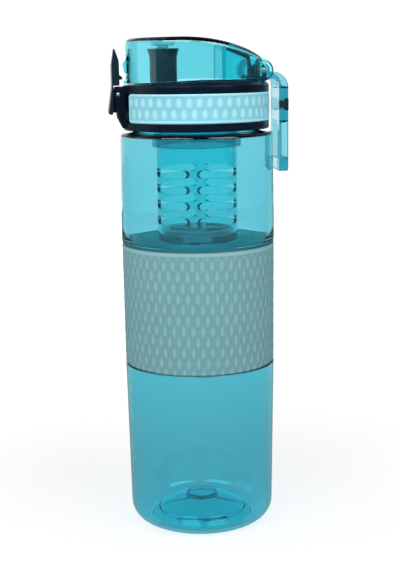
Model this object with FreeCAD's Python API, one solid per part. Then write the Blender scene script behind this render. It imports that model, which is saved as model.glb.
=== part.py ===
import FreeCAD, Part
import math
import os

from FreeCAD import Vector

# Fruit infuser water bottle, in millimetres.
# Origin on the bottle's axis at the table; +Z up, -X the latch side, +X the hinge side.

# Fits, gaps and overruns
running_gap = 0.05      # radial, a pin in a hole that turns on it
seat_gap = 0.05         # between fixed pieces that seat in each other
moving_gap = 0.4        # between faces that move past each other
ring_gap = 0.3          # round a soft ring that its seat turns in
cut_over = 6.0          # how far a cutting tool runs past what it cuts

# Bottle body
body_r = 36.5
body_wall = 2.0
shoulder_taper = 0.4
low_taper = 0.3
foot_taper = 1.7
taper_rise = 22.4
shoulder_z = 190.0
shoulder_round = 3.0
neck_root_rise = 1.3
neck_root_round = 1.2
neck_r = 29.4
neck_wall = 2.4
neck_lip_round = 0.8
foot_round = 9.0
foot_ring_r = 24.5
base_step = 4.0
base_push_up = 3.2
base_floor = 3.0
base_blend = 1.5
gate_ring_r = 6.6
gate_ring_width = 0.8
gate_ring_depth = 0.6
base_notch_width = 7.0
base_notch_depth = 1.6
base_notch_length = 3.2
base_notch_angle = -79.0

# Grip sleeve, set flush in the body's recess
sleeve_bottom_z = 80.3
sleeve_high = 59.3
sleeve_thick = 1.4
sleeve_round = 0.5
recess_draft = 1.0

# Lid ring, built up outwards from the neck
thread_room = 1.6
skirt_wall = 1.2
lid_fit = 0.1
lid_wall = 2.1
lid_clear = 1.0
lid_high = 22.3
lid_front_drop = 1.6
lid_lip_wide = 4.5
lid_lip_deep = 3.3
lid_bevel_wide = 2.3
lid_bevel_high = 2.0
lid_edge_round = 0.7
band_inset = 3.6
band_high = 13.4
band_depth = 0.9
band_proud = 0.25
band_corner = 2.2
band_end_gap = 4.4

# Lid insert: deck, threaded skirt and the plug that centres the gasket
deck_thick = 2.4
skirt_inset = 1.9
plug_fit = 0.5
plug_wall = 1.4
plug_long = 9.35
holder_wall = 1.5
holder_long = 9.85
gasket_thick = 2.2
gasket_round = 0.5

# Drinking spout
spout_inset = 19.3
spout_r = 6.4
spout_flare = 1.1
spout_bore_r = 3.4
spout_spigot_wall = 1.1
spout_high = 18.35
spout_flare_high = 3.4
spout_base_wide = 2.8
spout_base_thick = 1.6
spout_round = 1.0

# Flip cap
cap_inset = 1.4
cap_wall = 1.8
cap_roof = 2.0
cap_high = 19.9
cap_lift = 0.7
cap_edge_round = 3.0
cap_slope_x = -10.0
cap_slope_r = 90.0
cheek_thick = 3.0
catch_inset = 0.5
catch_proud = 1.5
catch_drop = 7.1
catch_rise = 4.6
catch_taper = 4.2
catch_lip_proud = 1.1
catch_lip_high = 1.6
seal_r = 5.4
seal_disc = 1.6
seal_plug_fit = 0.9
seal_plug_in = 1.4

# Cap hinge, shared by the carry loop
hinge_inset = 3.3
hinge_rise = 4.4
hinge_pin_r = 1.2
hinge_pocket = 17.2
knuckle_r = 5.0
bridge_drop = 0.5
ear_gap_half = 3.3
ear_thick = 3.6
ear_r = 2.4
ear_foot = 7.0
ear_step = 2.4

# Latch and its bracket
pivot_out = 2.4
pivot_drop = 5.6
pivot_pin_r = 0.9
bracket_inner_half = 5.1
bracket_arm = 2.4
bracket_out = 4.1
bracket_over = 3.4
bracket_under = 1.2
bracket_knee_in = 1.4
bracket_knee_drop = 11.4
bracket_foot_out = 0.6
bracket_foot_rise = 1.1
bracket_web_rise = 4.0
bracket_round = 1.2
latch_lug_r = 2.3
latch_lug_gap = 0.3
latch_below = 9.2
latch_above = 14.2
latch_tip_rise = 6.5
latch_block_rise = 4.0
latch_thick = 0.7
latch_head_thick = 3.5
latch_flare = 1.9
latch_back_flare = 0.5
latch_rib_deep = 2.4
horn_half = 4.6
horn_lean = 1.2
horn_tip_thick = 0.5
horn_shoulder_rise = 1.4
hook_inset = 1.5
hook_gap = 0.55
hook_rise = 6.7
hook_high = 1.1
hook_slope = 1.2
latch_round = 0.8
spring_half = 3.0
spring_thick = 0.4
spring_top_drop = 2.2
spring_straight = 3.8
spring_fall = 1.8

# Carry loop
loop_clear = 1.2
loop_thick = 4.4
loop_neck_thick = 3.4
loop_side_gap = 0.5
loop_top_drop = 0.6
loop_long = 46.4
loop_arch_round = 7.5
loop_inner_round = 2.6
loop_bar = 5.6
loop_leg = 4.2
loop_corner = 2.4
loop_window_corner = 1.6
loop_eye_r = 3.3
loop_window_high = 18.1
loop_low_bar_high = 4.6
loop_slot_high = 5.6
loop_top_bar_high = 4.6
loop_edge_round = 0.6
badge_thick = 1.2

# Infuser, sized to pass the neck
infuser_room = 7.9
infuser_wall = 1.5
infuser_long = 59.2
infuser_end_high = 4.4
infuser_end_round = 1.8
infuser_end_floor = 1.6
infuser_end_plug = 3.0
infuser_turn = -12.0
collar_room = 0.6
collar_wall = 1.5
collar_long = 24.85
collar_flange_drop = 5.25
collar_flange_thick = 1.4
collar_flange_wide = 3.2
infuser_seal_thick = 2.2
slot_rows = 4
slot_columns = 4
slot_drop = 29.4
slot_pitch = 7.4
slot_high = 3.8
slot_half_angle = 36.27
petal_inner_r = 3.6
petal_margin = 4.0
petal_rib = 3.4

# Bottle body and sleeve, from the sizes above
body_shoulder_r = body_r - shoulder_taper
body_low_r = body_r - low_taper
body_foot_r = body_r - foot_taper
base_disc_r = foot_ring_r - base_step
sleeve_top_z = sleeve_bottom_z + sleeve_high
body_taper_z = sleeve_top_z + taper_rise
recess_r = body_r - sleeve_thick
recess_low_r = body_low_r - sleeve_thick
neck_root_z = shoulder_z + neck_root_rise
neck_in_r = neck_r - neck_wall

# Lid ring and insert
skirt_r = neck_r + thread_room + skirt_wall
lid_inner_r = skirt_r + lid_fit
lid_r = lid_inner_r + lid_wall
lid_bottom_z = neck_root_z + lid_clear
lid_top_z = lid_bottom_z + lid_high
lid_lip_r = lid_r - lid_lip_wide
lid_lip_z = lid_top_z - lid_lip_deep
lid_bevel_r = lid_r - lid_bevel_wide
lid_bevel_z = lid_top_z - lid_bevel_high
band_bottom_z = lid_bottom_z + band_inset
band_top_z = band_bottom_z + band_high
deck_top_z = lid_lip_z - seat_gap
deck_under_z = deck_top_z - deck_thick
skirt_bottom_z = lid_bottom_z + skirt_inset
neck_top_z = deck_under_z - gasket_thick
plug_r = neck_in_r - plug_fit
plug_bottom_z = deck_under_z - plug_long
holder_bottom_z = deck_under_z - holder_long

# Spout, cap and hinge
spout_x = spout_inset - lid_r
spout_flare_r = spout_r + spout_flare
spout_spigot_r = spout_bore_r + spout_spigot_wall
spout_base_r = spout_r + spout_base_wide
spout_top_z = deck_top_z + spout_high
cap_r = lid_r - cap_inset
cap_top_z = lid_top_z + cap_high
seal_under_z = cap_top_z - cap_roof
seal_plug_r = spout_bore_r - seal_plug_fit
hinge_x = cap_r - hinge_inset
hinge_z = lid_top_z + hinge_rise
slot_front_x = hinge_x - hinge_pocket
ear_outer_half = ear_gap_half + ear_thick
loop_inner_half = ear_outer_half + moving_gap
loop_half = loop_inner_half + loop_leg
slot_half = loop_half + loop_side_gap

# Latch, bracket and catch, with reaches counted from the axis
bracket_half = bracket_inner_half + bracket_arm
band_front_half = bracket_half + band_end_gap
pivot_x = -lid_r - pivot_out
pivot_z = lid_top_z - pivot_drop
bracket_front = lid_r + bracket_out
bracket_knee = bracket_front - bracket_knee_in
bracket_foot = lid_r + bracket_foot_out
bracket_top_z = pivot_z + bracket_over
bracket_slope_z = pivot_z - bracket_under
bracket_knee_z = pivot_z - bracket_knee_drop
bracket_foot_z = lid_bottom_z + bracket_foot_rise
bracket_web_z = bracket_foot_z + bracket_web_rise
catch_half = bracket_half - catch_inset
catch_out = cap_r + catch_proud
catch_lip_out = cap_r + catch_lip_proud
catch_top_z = cap_top_z - catch_drop
catch_nose_z = catch_top_z - catch_rise
catch_foot_z = catch_nose_z - catch_taper
latch_half = bracket_half
latch_lug_half = bracket_inner_half - latch_lug_gap
latch_bottom_z = pivot_z - latch_below
latch_top_z = pivot_z + latch_above
latch_tip_z = latch_top_z + latch_tip_rise
latch_block_z = pivot_z + latch_block_rise
latch_plate_back = bracket_front + moving_gap
latch_plate_back_low = latch_plate_back + latch_back_flare
latch_front_top = latch_plate_back + latch_thick
latch_front_low = latch_front_top + latch_flare
latch_back = latch_front_top - latch_head_thick
latch_rib_half = spring_half + moving_gap
hook_half = latch_half - hook_inset
hook_out = catch_lip_out + hook_gap
hook_bottom_z = pivot_z + hook_rise

# Carry loop
loop_inner = max(body_r, body_shoulder_r, lid_r) + loop_clear
loop_out = loop_inner + loop_thick
loop_top_z = hinge_z - loop_top_drop
loop_bottom_z = loop_top_z - loop_long
loop_window_z = loop_bottom_z + loop_bar
loop_low_bar_z = loop_window_z + loop_window_high
loop_slot_z = loop_low_bar_z + loop_low_bar_high
loop_slot_top_z = loop_slot_z + loop_slot_high
loop_top_bar_z = loop_slot_top_z + loop_top_bar_high

# Infuser
infuser_r = neck_in_r - infuser_room
infuser_in_r = infuser_r - infuser_wall
collar_in_r = infuser_r + collar_room
collar_r = collar_in_r + collar_wall
collar_bottom_z = deck_under_z - collar_long
collar_flange_z = deck_under_z - collar_flange_drop
collar_flange_r = collar_in_r - collar_flange_wide
infuser_top_z = collar_flange_z - infuser_seal_thick
infuser_bottom_z = infuser_top_z - infuser_long
infuser_end_z = infuser_bottom_z - infuser_end_high
slot_row_z = infuser_top_z - slot_drop
slot_wide = 2 * infuser_r * math.sin(math.radians(slot_half_angle))
petal_outer_r = infuser_in_r - petal_margin


def xz(u, v):
    return Vector(u, 0, v)


def yz(u, v):
    return Vector(0, u, v)


def corner(before, here, after, radius):
    """Tangent points and middle of the arc that rounds one corner of an outline."""
    back = (before - here).normalize()
    ahead = (after - here).normalize()
    half = back.getAngle(ahead) / 2
    inward = (back + ahead).normalize()
    reach = radius / math.tan(half)
    middle = here + inward * (radius / math.sin(half) - radius)
    return here + back * reach, middle, here + ahead * reach


def outline(points, plane=xz):
    """Face inside a closed outline of (u, v, rounding) points."""
    spots = [plane(u, v) for u, v, _ in points]
    count = len(spots)
    edges = []
    starts = []
    ends = []
    for i, (_, _, radius) in enumerate(points):
        if radius == 0:
            starts.append(spots[i])
            ends.append(spots[i])
            continue
        first, middle, last = corner(spots[i - 1], spots[i], spots[(i + 1) % count], radius)
        edges.append(Part.Arc(first, middle, last).toShape())
        starts.append(first)
        ends.append(last)
    for i in range(count):
        a = ends[i]
        b = starts[(i + 1) % count]
        if a.distanceToPoint(b) > Part.Precision.confusion():
            edges.append(Part.LineSegment(a, b).toShape())
    return Part.Face(Part.Wire(Part.__sortEdges__(edges)))


def spun(points, x=0):
    """Solid of revolution about the vertical line at x; the outline's u is the radius."""
    face = outline([(u + x, v, rounding) for u, v, rounding in points])
    return face.revolve(Vector(x, 0, 0), Vector(0, 0, 1), 360)


def slab(points, y_low, y_high):
    """Side outline drawn across from y_low to y_high."""
    face = outline(points)
    face.translate(Vector(0, y_low, 0))
    return face.extrude(Vector(0, y_high - y_low, 0))


def slab_pair(points, y_inner, y_outer):
    return slab(points, y_inner, y_outer).fuse(slab(points, -y_outer, -y_inner))


def rod_y(radius, half, x, z):
    return Part.makeCylinder(radius, 2 * half, Vector(x, -half, z), Vector(0, 1, 0))


def rod_pair(radius, y_inner, y_outer, x, z):
    length = y_outer - y_inner
    near = Part.makeCylinder(radius, length, Vector(x, -y_outer, z), Vector(0, 1, 0))
    far = Part.makeCylinder(radius, length, Vector(x, y_inner, z), Vector(0, 1, 0))
    return near.fuse(far)


def ring(r_out, r_in, z_low, z_high, rounding=0):
    return spun([(r_in, z_low, 0), (r_out, z_low, rounding), (r_out, z_high, rounding), (r_in, z_high, 0)])


def flat(x, y, z, dx, dy, dz):
    return Part.makeBox(dx, dy, dz, Vector(x, y, z))


def save(shape, node):
    shape = shape.removeSplitter()
    shape.exportStep("parts/" + node + ".step")


def lid_top_at(x):
    """Height of the lid ring's top, which dips towards the latch."""
    return lid_top_z + lid_front_drop * min(x, 0) / lid_r


def above_lid(lift):
    """Side outline of everything higher than the lid ring's top, raised by lift."""
    reach = lid_r + lid_r
    sky = cap_top_z + reach
    return [
        (-reach, lid_top_at(-reach) + lift, 0), (0, lid_top_z + lift, 0), (reach, lid_top_z + lift, 0),
        (reach, sky, 0), (-reach, sky, 0),
    ]


def make_bottle_body():
    outside = [
        (0, base_push_up, 0), (base_disc_r, base_push_up, base_blend), (foot_ring_r, 0, base_blend),
        (body_foot_r, 0, foot_round), (body_low_r, sleeve_bottom_z, 0), (recess_low_r, sleeve_bottom_z, 0),
        (recess_r, sleeve_top_z, 0), (body_r, sleeve_top_z, 0), (body_r, body_taper_z, 0),
        (body_shoulder_r, shoulder_z, shoulder_round), (neck_r, neck_root_z, neck_root_round),
        (neck_r, neck_top_z, neck_lip_round),
    ]
    inside = [
        (neck_in_r, neck_top_z, neck_lip_round), (neck_in_r, neck_root_z - body_wall, neck_root_round),
        (body_shoulder_r - body_wall, shoulder_z - body_wall, shoulder_round - body_wall / 2),
        (body_r - body_wall, body_taper_z, 0), (body_r - body_wall, sleeve_top_z + recess_draft, 0),
        (recess_r - body_wall, sleeve_top_z - recess_draft, 0),
        (recess_low_r - body_wall, sleeve_bottom_z + recess_draft, 0),
        (body_low_r - body_wall, sleeve_bottom_z - recess_draft, 0),
        (body_foot_r - body_wall, base_floor, foot_round - body_wall),
        (foot_ring_r, base_floor, base_blend), (base_disc_r, base_push_up + base_floor, base_blend),
        (0, base_push_up + base_floor, 0),
    ]
    body = spun(outside + inside)
    gate = ring(gate_ring_r + gate_ring_width, gate_ring_r, base_push_up - cut_over,
                base_push_up + gate_ring_depth)
    notch = flat(foot_ring_r - base_blend, -base_notch_width / 2, -cut_over,
                 base_notch_length, base_notch_width, cut_over + base_notch_depth)
    notch.rotate(Vector(), Vector(0, 0, 1), base_notch_angle)
    return body.cut(gate).cut(notch)


def make_grip_sleeve():
    top = sleeve_top_z - seat_gap
    bottom = sleeve_bottom_z + seat_gap
    return spun([
        (recess_low_r + seat_gap, bottom, 0), (body_low_r, bottom, sleeve_round),
        (body_r, top, sleeve_round), (recess_r + seat_gap, top, 0),
    ])


def make_lid_shell():
    wall = spun([
        (lid_inner_r, lid_bottom_z, 0), (lid_r, lid_bottom_z, lid_edge_round), (lid_r, band_bottom_z, 0),
        (lid_r - band_depth, band_bottom_z, 0), (lid_r - band_depth, band_top_z, 0), (lid_r, band_top_z, 0),
        (lid_r, lid_bevel_z, lid_edge_round), (lid_bevel_r, lid_top_z, lid_edge_round),
        (lid_lip_r, lid_top_z, 0), (lid_lip_r, lid_lip_z, 0), (lid_inner_r, lid_lip_z, 0),
    ])
    wall = wall.cut(slab(above_lid(0), -lid_r - cut_over, lid_r + cut_over))
    root = lid_r - band_depth
    arm = [
        (-root, bracket_foot_z, 0), (-bracket_foot, bracket_foot_z, 0), (-bracket_knee, bracket_knee_z, 0),
        (-bracket_front, bracket_slope_z, 0), (-bracket_front, bracket_top_z, bracket_round),
        (-root, bracket_top_z, 0),
    ]
    web_front = bracket_foot + (bracket_knee - bracket_foot) * web_share()
    web = [
        (-root, bracket_foot_z, 0), (-bracket_foot, bracket_foot_z, 0), (-web_front, bracket_web_z, 0),
        (-root, bracket_web_z, 0),
    ]
    arms = slab_pair(arm, bracket_inner_half, bracket_half)
    wall = wall.fuse(arms).fuse(slab(web, -bracket_half, bracket_half))
    wall = wall.cut(Part.makeCylinder(lid_inner_r, lid_lip_z - lid_bottom_z, Vector(0, 0, lid_bottom_z)))
    wall = wall.cut(rod_y(pivot_pin_r, bracket_half + cut_over, pivot_x, pivot_z))
    step_z = hinge_z - ear_step
    ear = [
        (hinge_x - ear_foot, lid_lip_z, 0), (hinge_x + ear_r, lid_lip_z, 0), (hinge_x + ear_r, hinge_z, 0),
        (hinge_x - ear_r, hinge_z, 0), (hinge_x - ear_r, step_z, 0), (hinge_x - ear_foot, step_z, 0),
    ]
    ears = slab_pair(ear, ear_gap_half, ear_outer_half)
    ears = ears.fuse(rod_pair(ear_r, ear_gap_half, ear_outer_half, hinge_x, hinge_z))
    wall = wall.fuse(ears)
    wall = wall.cut(rod_y(hinge_pin_r, ear_outer_half + cut_over, hinge_x, hinge_z))
    relief_half = slot_half + cheek_thick + moving_gap
    relief = rod_pair(knuckle_r + moving_gap, ear_outer_half, relief_half, hinge_x, hinge_z)
    return wall.cut(relief)


def web_share():
    """How far up the bracket's sloping foot the web between its arms reaches."""
    return (bracket_web_z - bracket_foot_z) / (bracket_knee_z - bracket_foot_z)


def make_lid_band():
    r_in = lid_r - band_depth + seat_gap
    r_out = lid_r + band_proud
    low = band_bottom_z + seat_gap
    high = band_top_z - seat_gap
    band = ring(r_out, r_in, low, high)
    gap = flat(-r_out - cut_over, -band_front_half, low - cut_over,
               r_out + cut_over, 2 * band_front_half, high - low + 2 * cut_over)
    band = band.cut(gap)
    ends = [e for e in band.Edges if is_band_corner(e)]
    return band.makeFillet(band_corner, ends)


def is_band_corner(edge):
    """True for the short straight edges at the four corners of the band's two ends."""
    straight = isinstance(edge.Curve, (Part.Line, Part.LineSegment))
    return straight and edge.Length < band_top_z - band_bottom_z - band_corner


def make_lid_insert():
    insert = spun([
        (0, deck_under_z, 0), (skirt_r - skirt_wall, deck_under_z, 0),
        (skirt_r - skirt_wall, skirt_bottom_z, 0), (skirt_r, skirt_bottom_z, 0), (skirt_r, deck_top_z, 0),
        (0, deck_top_z, 0),
    ])
    plug = ring(plug_r, plug_r - plug_wall, plug_bottom_z, deck_under_z)
    holder_in = collar_r + seat_gap
    holder = ring(holder_in + holder_wall, holder_in, holder_bottom_z, deck_under_z)
    hole = Part.makeCylinder(spout_spigot_r + seat_gap, deck_thick + 2 * cut_over,
                             Vector(spout_x, 0, deck_under_z - cut_over))
    return insert.fuse(plug).fuse(holder).cut(hole)


def make_drinking_spout():
    neck_z = spout_top_z - spout_flare_high
    return spun([
        (spout_bore_r, deck_under_z, 0), (spout_spigot_r, deck_under_z, 0), (spout_spigot_r, deck_top_z, 0),
        (spout_base_r, deck_top_z, 0), (spout_base_r, deck_top_z + spout_base_thick, spout_round),
        (spout_r, deck_top_z + spout_base_thick, spout_round), (spout_r, neck_z, spout_round),
        (spout_flare_r, neck_z + spout_round, spout_round / 2), (spout_flare_r, spout_top_z, spout_round),
        (spout_bore_r, spout_top_z, spout_round / 2),
    ], spout_x)


def cap_block(radius, drop):
    """Round block under the cap's flat top and its curved slope to the hinge, lowered by drop."""
    top = cap_top_z - drop
    centre = Vector(cap_slope_x, 0, cap_top_z - cap_slope_r)
    arc_r = cap_slope_r - drop
    reach = lid_r + lid_r
    turn = math.asin((lid_r - cap_slope_x) / cap_slope_r)
    start = centre + xz(0, arc_r)
    middle = centre + xz(arc_r * math.sin(turn / 2), arc_r * math.cos(turn / 2))
    end = centre + xz(arc_r * math.sin(turn), arc_r * math.cos(turn))
    low = lid_lip_z
    spots = [end, xz(end.x, low), xz(-reach, low), xz(-reach, top), start]
    edges = [Part.Arc(start, middle, end).toShape()]
    edges += [Part.LineSegment(a, b).toShape() for a, b in zip(spots, spots[1:])]
    face = Part.Face(Part.Wire(Part.__sortEdges__(edges)))
    face.translate(Vector(0, -reach, 0))
    side = face.extrude(Vector(0, 2 * reach, 0))
    return side.common(Part.makeCylinder(radius, top - low, Vector(0, 0, low)))


def is_cap_rim(edge):
    """True for the edges where the cap's top meets its round wall."""
    box = edge.BoundBox
    if box.ZMin < hinge_z or box.YLength < slot_half:
        return False
    return box.XLength > slot_half


def make_flip_cap():
    outer = cap_block(cap_r, 0)
    outer = outer.makeFillet(cap_edge_round, [e for e in outer.Edges if is_cap_rim(e)])
    cap = outer.cut(cap_block(cap_r - cap_wall, cap_roof))
    cheek_half = slot_half + cheek_thick
    front_x = slot_front_x - cap_wall
    pocket = flat(front_x, -cheek_half, lid_lip_z, hinge_x - front_x, 2 * cheek_half, cap_top_z - lid_lip_z)
    cap = cap.fuse(outer.common(pocket))
    knuckle = rod_y(knuckle_r, cheek_half, hinge_x, hinge_z)
    cap = cap.fuse(knuckle).fuse(make_knuckle_bridge(cheek_half))
    slot = flat(slot_front_x, -slot_half, lid_lip_z - cut_over, cap_r + cut_over,
                2 * slot_half, cap_top_z - lid_lip_z + 2 * cut_over)
    cap = cap.cut(slot)
    cap = cap.fuse(make_catch())
    ground = slab(above_lid(cap_lift), -lid_r - cut_over, lid_r + cut_over)
    hinge_room = rod_y(knuckle_r, cheek_half, hinge_x, hinge_z).cut(slot)
    cap = cap.common(ground).fuse(hinge_room)
    return cap.cut(rod_y(hinge_pin_r + running_gap, cheek_half + cut_over, hinge_x, hinge_z))


def slope_at(x):
    """Height of the cap's curved slope above x."""
    return cap_top_z - cap_slope_r + math.sqrt(cap_slope_r ** 2 - (x - cap_slope_x) ** 2)


def make_knuckle_bridge(half):
    """Fills between the cap's slope and the round of its hinge knuckle."""
    start_x = hinge_x - knuckle_r
    high = slope_at(start_x) - bridge_drop
    lean = math.radians(bridge_lean())
    touch_x = hinge_x + knuckle_r * math.sin(lean)
    touch_z = hinge_z + knuckle_r * math.cos(lean)
    side = [(start_x, hinge_z, 0), (start_x, high, 0), (touch_x, touch_z, 0), (hinge_x, hinge_z, 0)]
    return slab(side, -half, half)


def bridge_lean():
    """Angle from upright, in degrees, at which the slope's line leaves the knuckle."""
    rise = slope_at(hinge_x - knuckle_r) - bridge_drop - hinge_z
    span = math.hypot(knuckle_r, rise)
    return math.degrees(math.acos(knuckle_r / span) - math.atan2(knuckle_r, rise))


def make_catch():
    root = cap_r - cap_wall
    wedge = [
        (-root, catch_foot_z, 0), (-catch_out + cap_wall / 2, catch_foot_z, 0),
        (-catch_out, catch_nose_z, 0), (-root, catch_top_z, 0),
    ]
    low = lid_top_at(-lid_r)
    high = low + cap_lift + catch_lip_high
    lip = [(-root, low, 0), (-catch_lip_out, low, 0), (-catch_lip_out, high, 0), (-root, high, 0)]
    inside = Part.makeCylinder(root, cap_top_z - lid_lip_z, Vector(0, 0, lid_lip_z))
    catch = slab(wedge, -catch_half, catch_half).fuse(slab(lip, -catch_half, catch_half))
    return catch.cut(inside)


def make_spout_seal():
    disc_z = seal_under_z - seal_disc
    tip_z = spout_top_z - seal_plug_in
    seal = spun([
        (0, tip_z, 0), (seal_plug_r, tip_z, spout_round / 2), (seal_plug_r, disc_z, 0),
        (seal_r, disc_z, spout_round / 2), (seal_r, seal_under_z, 0), (0, seal_under_z, 0),
    ], spout_x)
    return seal.common(cap_block(cap_r - cap_wall, cap_roof))


def make_latch():
    plate = [
        (-latch_front_low, latch_bottom_z, latch_round), (-latch_front_top, latch_block_z, 0),
        (-latch_front_top, latch_top_z, latch_round), (-latch_back, latch_top_z, 0),
        (-latch_back, latch_block_z, 0), (-latch_plate_back, latch_block_z, 0),
        (-latch_plate_back_low, latch_bottom_z, latch_round / 2),
    ]
    horn = [
        (-latch_front_top, latch_top_z - latch_round, 0), (horn_lean - latch_front_top, latch_tip_z, 0),
        (horn_lean + horn_tip_thick - latch_front_top, latch_tip_z, 0),
        (-latch_back, latch_top_z + horn_shoulder_rise, 0),
        (-latch_back, latch_top_z - latch_round, 0),
    ]
    hook = [
        (-latch_back - hook_slope, hook_bottom_z, 0), (-hook_out, hook_bottom_z, 0),
        (-hook_out, hook_bottom_z + hook_high, 0), (-latch_back, hook_bottom_z + hook_high + hook_slope, 0),
        (-latch_back - hook_slope, hook_bottom_z + hook_high + hook_slope, 0),
    ]
    lug = [
        (-latch_plate_back_low, pivot_z - latch_lug_r, 0), (pivot_x, pivot_z - latch_lug_r, 0),
        (pivot_x, pivot_z + latch_lug_r, 0), (-latch_plate_back_low, pivot_z + latch_lug_r, 0),
    ]
    rib_low_z = latch_bottom_z + latch_round
    rib_back = latch_plate_back_low - latch_rib_deep
    rib = [
        (-latch_plate_back_low, rib_low_z, 0), (-rib_back, rib_low_z, 0), (-rib_back, pivot_z, 0),
        (-latch_plate_back_low, pivot_z, 0),
    ]
    latch = slab(plate, -latch_half, latch_half).fuse(slab(horn, -horn_half, horn_half))
    latch = latch.fuse(slab(hook, -hook_half, hook_half))
    latch = latch.fuse(slab(lug, -latch_lug_half, latch_lug_half))
    latch = latch.fuse(slab_pair(rib, latch_rib_half, latch_lug_half))
    latch = latch.fuse(rod_y(latch_lug_r, latch_lug_half, pivot_x, pivot_z))
    return latch.cut(rod_y(pivot_pin_r + running_gap, latch_half, pivot_x, pivot_z))


def make_latch_spring():
    """Bent leaf between the lid ring and the latch's lower end."""
    root = lid_r - band_depth + seat_gap
    tip = latch_plate_back_low - moving_gap
    top_z = pivot_z - spring_top_drop
    knee_z = top_z - spring_straight
    tip_z = knee_z - spring_fall
    leaf = [
        (-root, top_z, 0), (-root, knee_z - spring_thick, 0), (-tip, tip_z - spring_thick, 0),
        (-tip, tip_z, 0), (-root - spring_thick, knee_z, 0), (-root - spring_thick, top_z, 0),
    ]
    return slab(leaf, -spring_half, spring_half)


def window(y_half, z_low, z_high, rounding):
    """Opening right through the loop, with rounded corners."""
    face = outline([(-y_half, z_low, rounding), (y_half, z_low, rounding), (y_half, z_high, rounding),
                    (-y_half, z_high, rounding)], yz)
    return face.extrude(Vector(loop_out + cut_over, 0, 0))


def make_carry_loop():
    strap = [
        (hinge_x, loop_top_z, 0), (loop_out, loop_top_z, loop_arch_round),
        (loop_out, loop_bottom_z, loop_edge_round), (loop_inner, loop_bottom_z, loop_edge_round),
        (loop_inner, loop_top_z - loop_neck_thick, loop_inner_round),
        (hinge_x, loop_top_z - loop_neck_thick, 0),
    ]
    loop = slab(strap, -loop_half, loop_half)
    face = outline([(-loop_half, loop_bottom_z, loop_corner), (loop_half, loop_bottom_z, loop_corner),
                    (loop_half, hinge_z, 0), (-loop_half, hinge_z, 0)], yz)
    loop = loop.common(face.extrude(Vector(loop_out + cut_over, 0, 0)))
    loop = loop.fuse(rod_y(loop_eye_r, loop_half, hinge_x, hinge_z))
    openings = [
        (loop_window_z, loop_low_bar_z), (loop_slot_z, loop_slot_top_z), (loop_top_bar_z, cap_top_z),
    ]
    for low, high in openings:
        loop = loop.cut(window(loop_inner_half, low, high, loop_window_corner))
    return loop.cut(rod_y(hinge_pin_r + running_gap, loop_half + cut_over, hinge_x, hinge_z))


def make_loop_badge():
    plate = window(loop_inner_half - seat_gap, loop_slot_z + seat_gap,
                   loop_slot_top_z - seat_gap, loop_window_corner)
    return plate.common(flat(loop_out - badge_thick, -loop_half, loop_bottom_z, badge_thick,
                             2 * loop_half, hinge_z - loop_bottom_z))


def make_infuser_collar():
    top = deck_under_z
    flange = collar_flange_z + collar_flange_thick
    return spun([
        (collar_in_r, collar_bottom_z, 0), (collar_r, collar_bottom_z, 0), (collar_r, top, 0),
        (collar_in_r, top, 0), (collar_in_r, flange, 0), (collar_flange_r, flange, 0),
        (collar_flange_r, collar_flange_z, 0), (collar_in_r, collar_flange_z, 0),
    ])


def make_infuser_tube():
    tube = ring(infuser_r, infuser_in_r, infuser_bottom_z, infuser_top_z)
    half_wide = slot_wide / 2
    half_high = slot_high / 2
    for row in range(slot_rows):
        z = slot_row_z - row * slot_pitch
        reach = infuser_r + cut_over
        cutter = flat(0, -half_wide + half_high, z - half_high, reach, slot_wide - slot_high, slot_high)
        for y in (-half_wide + half_high, half_wide - half_high):
            cutter = cutter.fuse(Part.makeCylinder(half_high, reach, Vector(0, y, z), Vector(1, 0, 0)))
        for column in range(slot_columns):
            turned = cutter.copy()
            turned.rotate(Vector(), Vector(0, 0, 1), infuser_turn + (column + 1 / 2) * 360 / slot_columns)
            tube = tube.cut(turned)
    return tube


def make_infuser_base():
    plug = infuser_in_r - seat_gap
    plug_top_z = infuser_bottom_z + infuser_end_plug
    floor_z = infuser_end_z + infuser_end_floor
    base = spun([
        (0, infuser_end_z, 0), (infuser_r, infuser_end_z, infuser_end_round),
        (infuser_r, infuser_bottom_z, 0), (plug, infuser_bottom_z, 0), (plug, plug_top_z, 0),
        (plug - infuser_wall, plug_top_z, 0),
        (plug - infuser_wall, floor_z, 0), (0, floor_z, 0),
    ])
    low = infuser_end_z - cut_over
    petal = ring(petal_outer_r, petal_inner_r, low, floor_z + cut_over)
    for turn in range(2):
        rib = flat(-infuser_r, -petal_rib / 2, low, 2 * infuser_r, petal_rib, floor_z + cut_over - low)
        rib.rotate(Vector(), Vector(0, 0, 1), infuser_turn + turn * 360 / slot_columns)
        petal = petal.cut(rib)
    return base.cut(petal)


save(make_bottle_body(), "bottle_body")
save(make_grip_sleeve(), "grip_sleeve")
save(make_lid_shell(), "lid_shell")
save(make_lid_band(), "lid_band")
save(make_lid_insert(), "lid_insert")
save(ring(neck_r, plug_r + ring_gap, neck_top_z, deck_under_z, gasket_round), "neck_gasket")
save(make_drinking_spout(), "drinking_spout")
save(make_flip_cap(), "flip_cap")
save(make_spout_seal(), "spout_seal")
save(rod_y(hinge_pin_r, slot_half + cheek_thick, hinge_x, hinge_z), "hinge_pin")
save(make_latch(), "latch")
save(make_latch_spring(), "latch_spring")
save(rod_y(pivot_pin_r, bracket_half, pivot_x, pivot_z), "latch_pin")
save(make_carry_loop(), "carry_loop")
save(make_loop_badge(), "loop_badge")
save(make_infuser_collar(), "infuser_collar")
save(make_infuser_tube(), "infuser_tube")
save(make_infuser_base(), "infuser_base")
save(ring(collar_in_r - ring_gap, infuser_in_r, infuser_top_z, collar_flange_z), "infuser_seal")
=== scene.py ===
import math

import bmesh
import bpy
from mathutils import Matrix, Vector


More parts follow.
